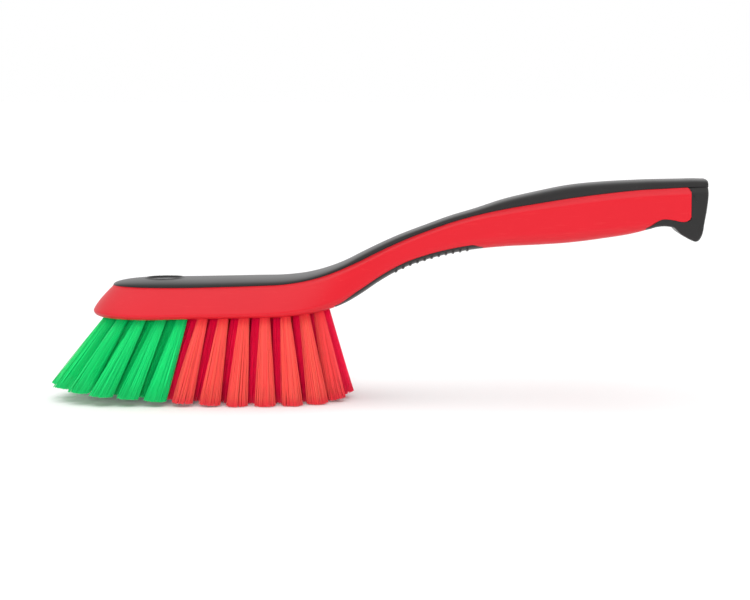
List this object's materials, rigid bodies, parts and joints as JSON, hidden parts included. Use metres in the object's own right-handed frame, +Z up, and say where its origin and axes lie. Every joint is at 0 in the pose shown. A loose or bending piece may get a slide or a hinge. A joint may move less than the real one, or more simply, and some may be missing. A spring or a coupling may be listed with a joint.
{
  "type": "hand brush",
  "caption": "Hand brush with a rounded block, a long raised handle with soft grips and an end hook, and two-colour tufts that fan out to the front.",
  "frame": {"origin": "middle of the bounding box in plan, on the surface that the brush stands on", "axes": "+X from the nose of the block to the end of the handle, +Y across the brush, +Z up"},
  "size_m": [0.3214, 0.071, 0.108],
  "materials": {
    "red_plastic": "satin moulded plastic",
    "black_rubber": "fine matte rubber",
    "green_filament": "drawn plastic filament with a soft sheen",
    "red_filament": "drawn plastic filament with a soft sheen"
  },
  "bodies": {
    "root": {"core_body": "red_plastic", "top_grip": "black_rubber", "neck_grip": "black_rubber", "end_hook": "black_rubber", "green_tuft_01": "green_filament", "green_tuft_02": "green_filament", "green_tuft_03": "green_filament", "green_tuft_04": "green_filament", "green_tuft_05": "green_filament", "green_tuft_06": "green_filament", "green_tuft_07": "green_filament", "green_tuft_08": "green_filament", "green_tuft_09": "green_filament", "green_tuft_10": "green_filament", "green_tuft_11": "green_filament", "green_tuft_12": "green_filament", "green_tuft_13": "green_filament", "green_tuft_14": "green_filament", "green_tuft_15": "green_filament", "green_tuft_16": "green_filament", "green_tuft_17": "green_filament", "green_tuft_18": "green_filament", "green_tuft_19": "green_filament", "green_tuft_20": "green_filament", "green_tuft_21": "green_filament", "red_tuft_01": "red_filament", "red_tuft_02": "red_filament", "red_tuft_03": "red_filament", "red_tuft_04": "red_filament", "red_tuft_05": "red_filament", "red_tuft_06": "red_filament", "red_tuft_07": "red_filament", "red_tuft_08": "red_filament", "red_tuft_09": "red_filament", "red_tuft_10": "red_filament", "red_tuft_11": "red_filament", "red_tuft_12": "red_filament", "red_tuft_13": "red_filament", "red_tuft_14": "red_filament", "red_tuft_15": "red_filament", "red_tuft_16": "red_filament", "red_tuft_17": "red_filament", "red_tuft_18": "red_filament", "red_tuft_19": "red_filament", "red_tuft_20": "red_filament", "red_tuft_21": "red_filament", "red_tuft_22": "red_filament", "red_tuft_23": "red_filament", "red_tuft_24": "red_filament", "red_tuft_25": "red_filament", "red_tuft_26": "red_filament", "red_tuft_27": "red_filament", "red_tuft_28": "red_filament", "red_tuft_29": "red_filament", "red_tuft_30": "red_filament", "red_tuft_31": "red_filament", "red_tuft_32": "red_filament", "red_tuft_33": "red_filament", "red_tuft_34": "red_filament", "red_tuft_35": "red_filament"}
  },
  "joints": []
}
